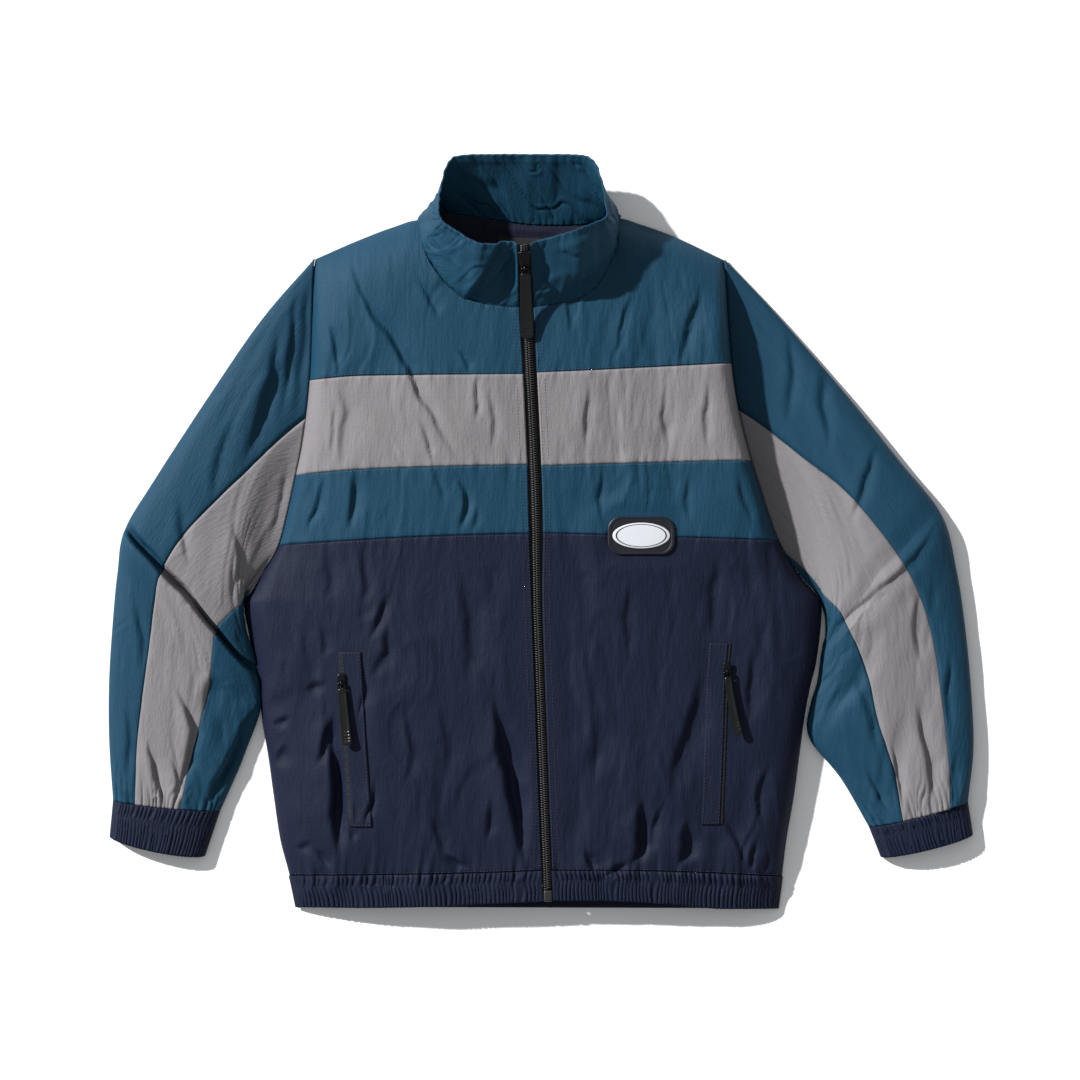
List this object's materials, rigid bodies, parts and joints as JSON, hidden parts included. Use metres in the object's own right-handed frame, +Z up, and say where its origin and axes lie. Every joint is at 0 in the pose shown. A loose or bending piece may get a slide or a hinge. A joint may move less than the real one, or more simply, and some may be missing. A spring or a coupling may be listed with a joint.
{
  "type": "windbreaker jacket",
  "caption": "Colour-block zip windbreaker laid flat: teal yoke, grey chest band, navy body, grey sleeve stripes, stand-up collar, two zip pockets.",
  "frame": {"origin": "on the surface that the jacket lies on, under the middle of its whole outline", "axes": "+X from the wearer's right to the wearer's left, +Y from the hem to the collar, +Z up out of the front"},
  "size_m": [0.9092, 0.7932, 0.0859],
  "materials": {
    "teal_cloth": "matt crisp woven nylon",
    "navy_cloth": "matt crisp woven nylon",
    "grey_cloth": "matt crisp woven nylon",
    "lining": "smooth lining",
    "black_tape": "woven tape",
    "black_teeth": "moulded plastic",
    "dark_metal": "black painted zip slider",
    "black_rubber": "soft satin rubber",
    "badge_rim": "satin",
    "badge_face": "satin"
  },
  "bodies": {
    "garment": {"right_yoke": "teal_cloth", "right_mid_band": "teal_cloth", "right_sleeve_outer": "teal_cloth", "right_sleeve_inner": "teal_cloth", "right_lower_front": "navy_cloth", "right_hem": "navy_cloth", "right_cuff": "navy_cloth", "right_pocket_welt": "navy_cloth", "right_chest_band": "grey_cloth", "right_sleeve_stripe": "grey_cloth", "right_zip_tape": "black_tape", "right_zip_teeth": "black_teeth", "right_pocket_zip": "black_teeth", "right_pocket_slider": "dark_metal", "left_yoke": "teal_cloth", "left_mid_band": "teal_cloth", "left_sleeve_outer": "teal_cloth", "left_sleeve_inner": "teal_cloth", "left_lower_front": "navy_cloth", "left_hem": "navy_cloth", "left_cuff": "navy_cloth", "left_pocket_welt": "navy_cloth", "left_chest_band": "grey_cloth", "left_sleeve_stripe": "grey_cloth", "left_zip_tape": "black_tape", "left_zip_teeth": "black_teeth", "left_pocket_zip": "black_teeth", "left_pocket_slider": "dark_metal", "back_upper": "teal_cloth", "back_lower": "navy_cloth", "back_hem": "navy_cloth", "collar": "teal_cloth", "neck_lining": "lining", "neck_label": "black_tape", "zip_slider": "dark_metal", "zip_box": "black_teeth", "badge_base": "badge_rim", "badge_oval": "badge_face"},
    "main_tab": {"zip_pull": "black_rubber"},
    "right_pocket_tab": {"right_pocket_pull": "black_rubber"},
    "left_pocket_tab": {"left_pocket_pull": "black_rubber"}
  },
  "joints": [
    {"name": "zip_pull_flip", "type": "hinge", "parent": "garment", "child": "main_tab", "pos_m": [-0.01689, 0.27473, 0.07555], "axis": [-1, 0, 0], "range_deg": [0, 150]},
    {"name": "right_pocket_pull_flip", "type": "hinge", "parent": "garment", "child": "right_pocket_tab", "pos_m": [-0.20964, -0.1585, 0.03846], "axis": [-0.984, -0.0715, -0.163], "range_deg": [0, 150]},
    {"name": "left_pocket_pull_flip", "type": "hinge", "parent": "garment", "child": "left_pocket_tab", "pos_m": [0.19593, -0.14642, 0.03965], "axis": [-0.982, -0.1091, 0.1544], "range_deg": [0, 150]}
  ]
}
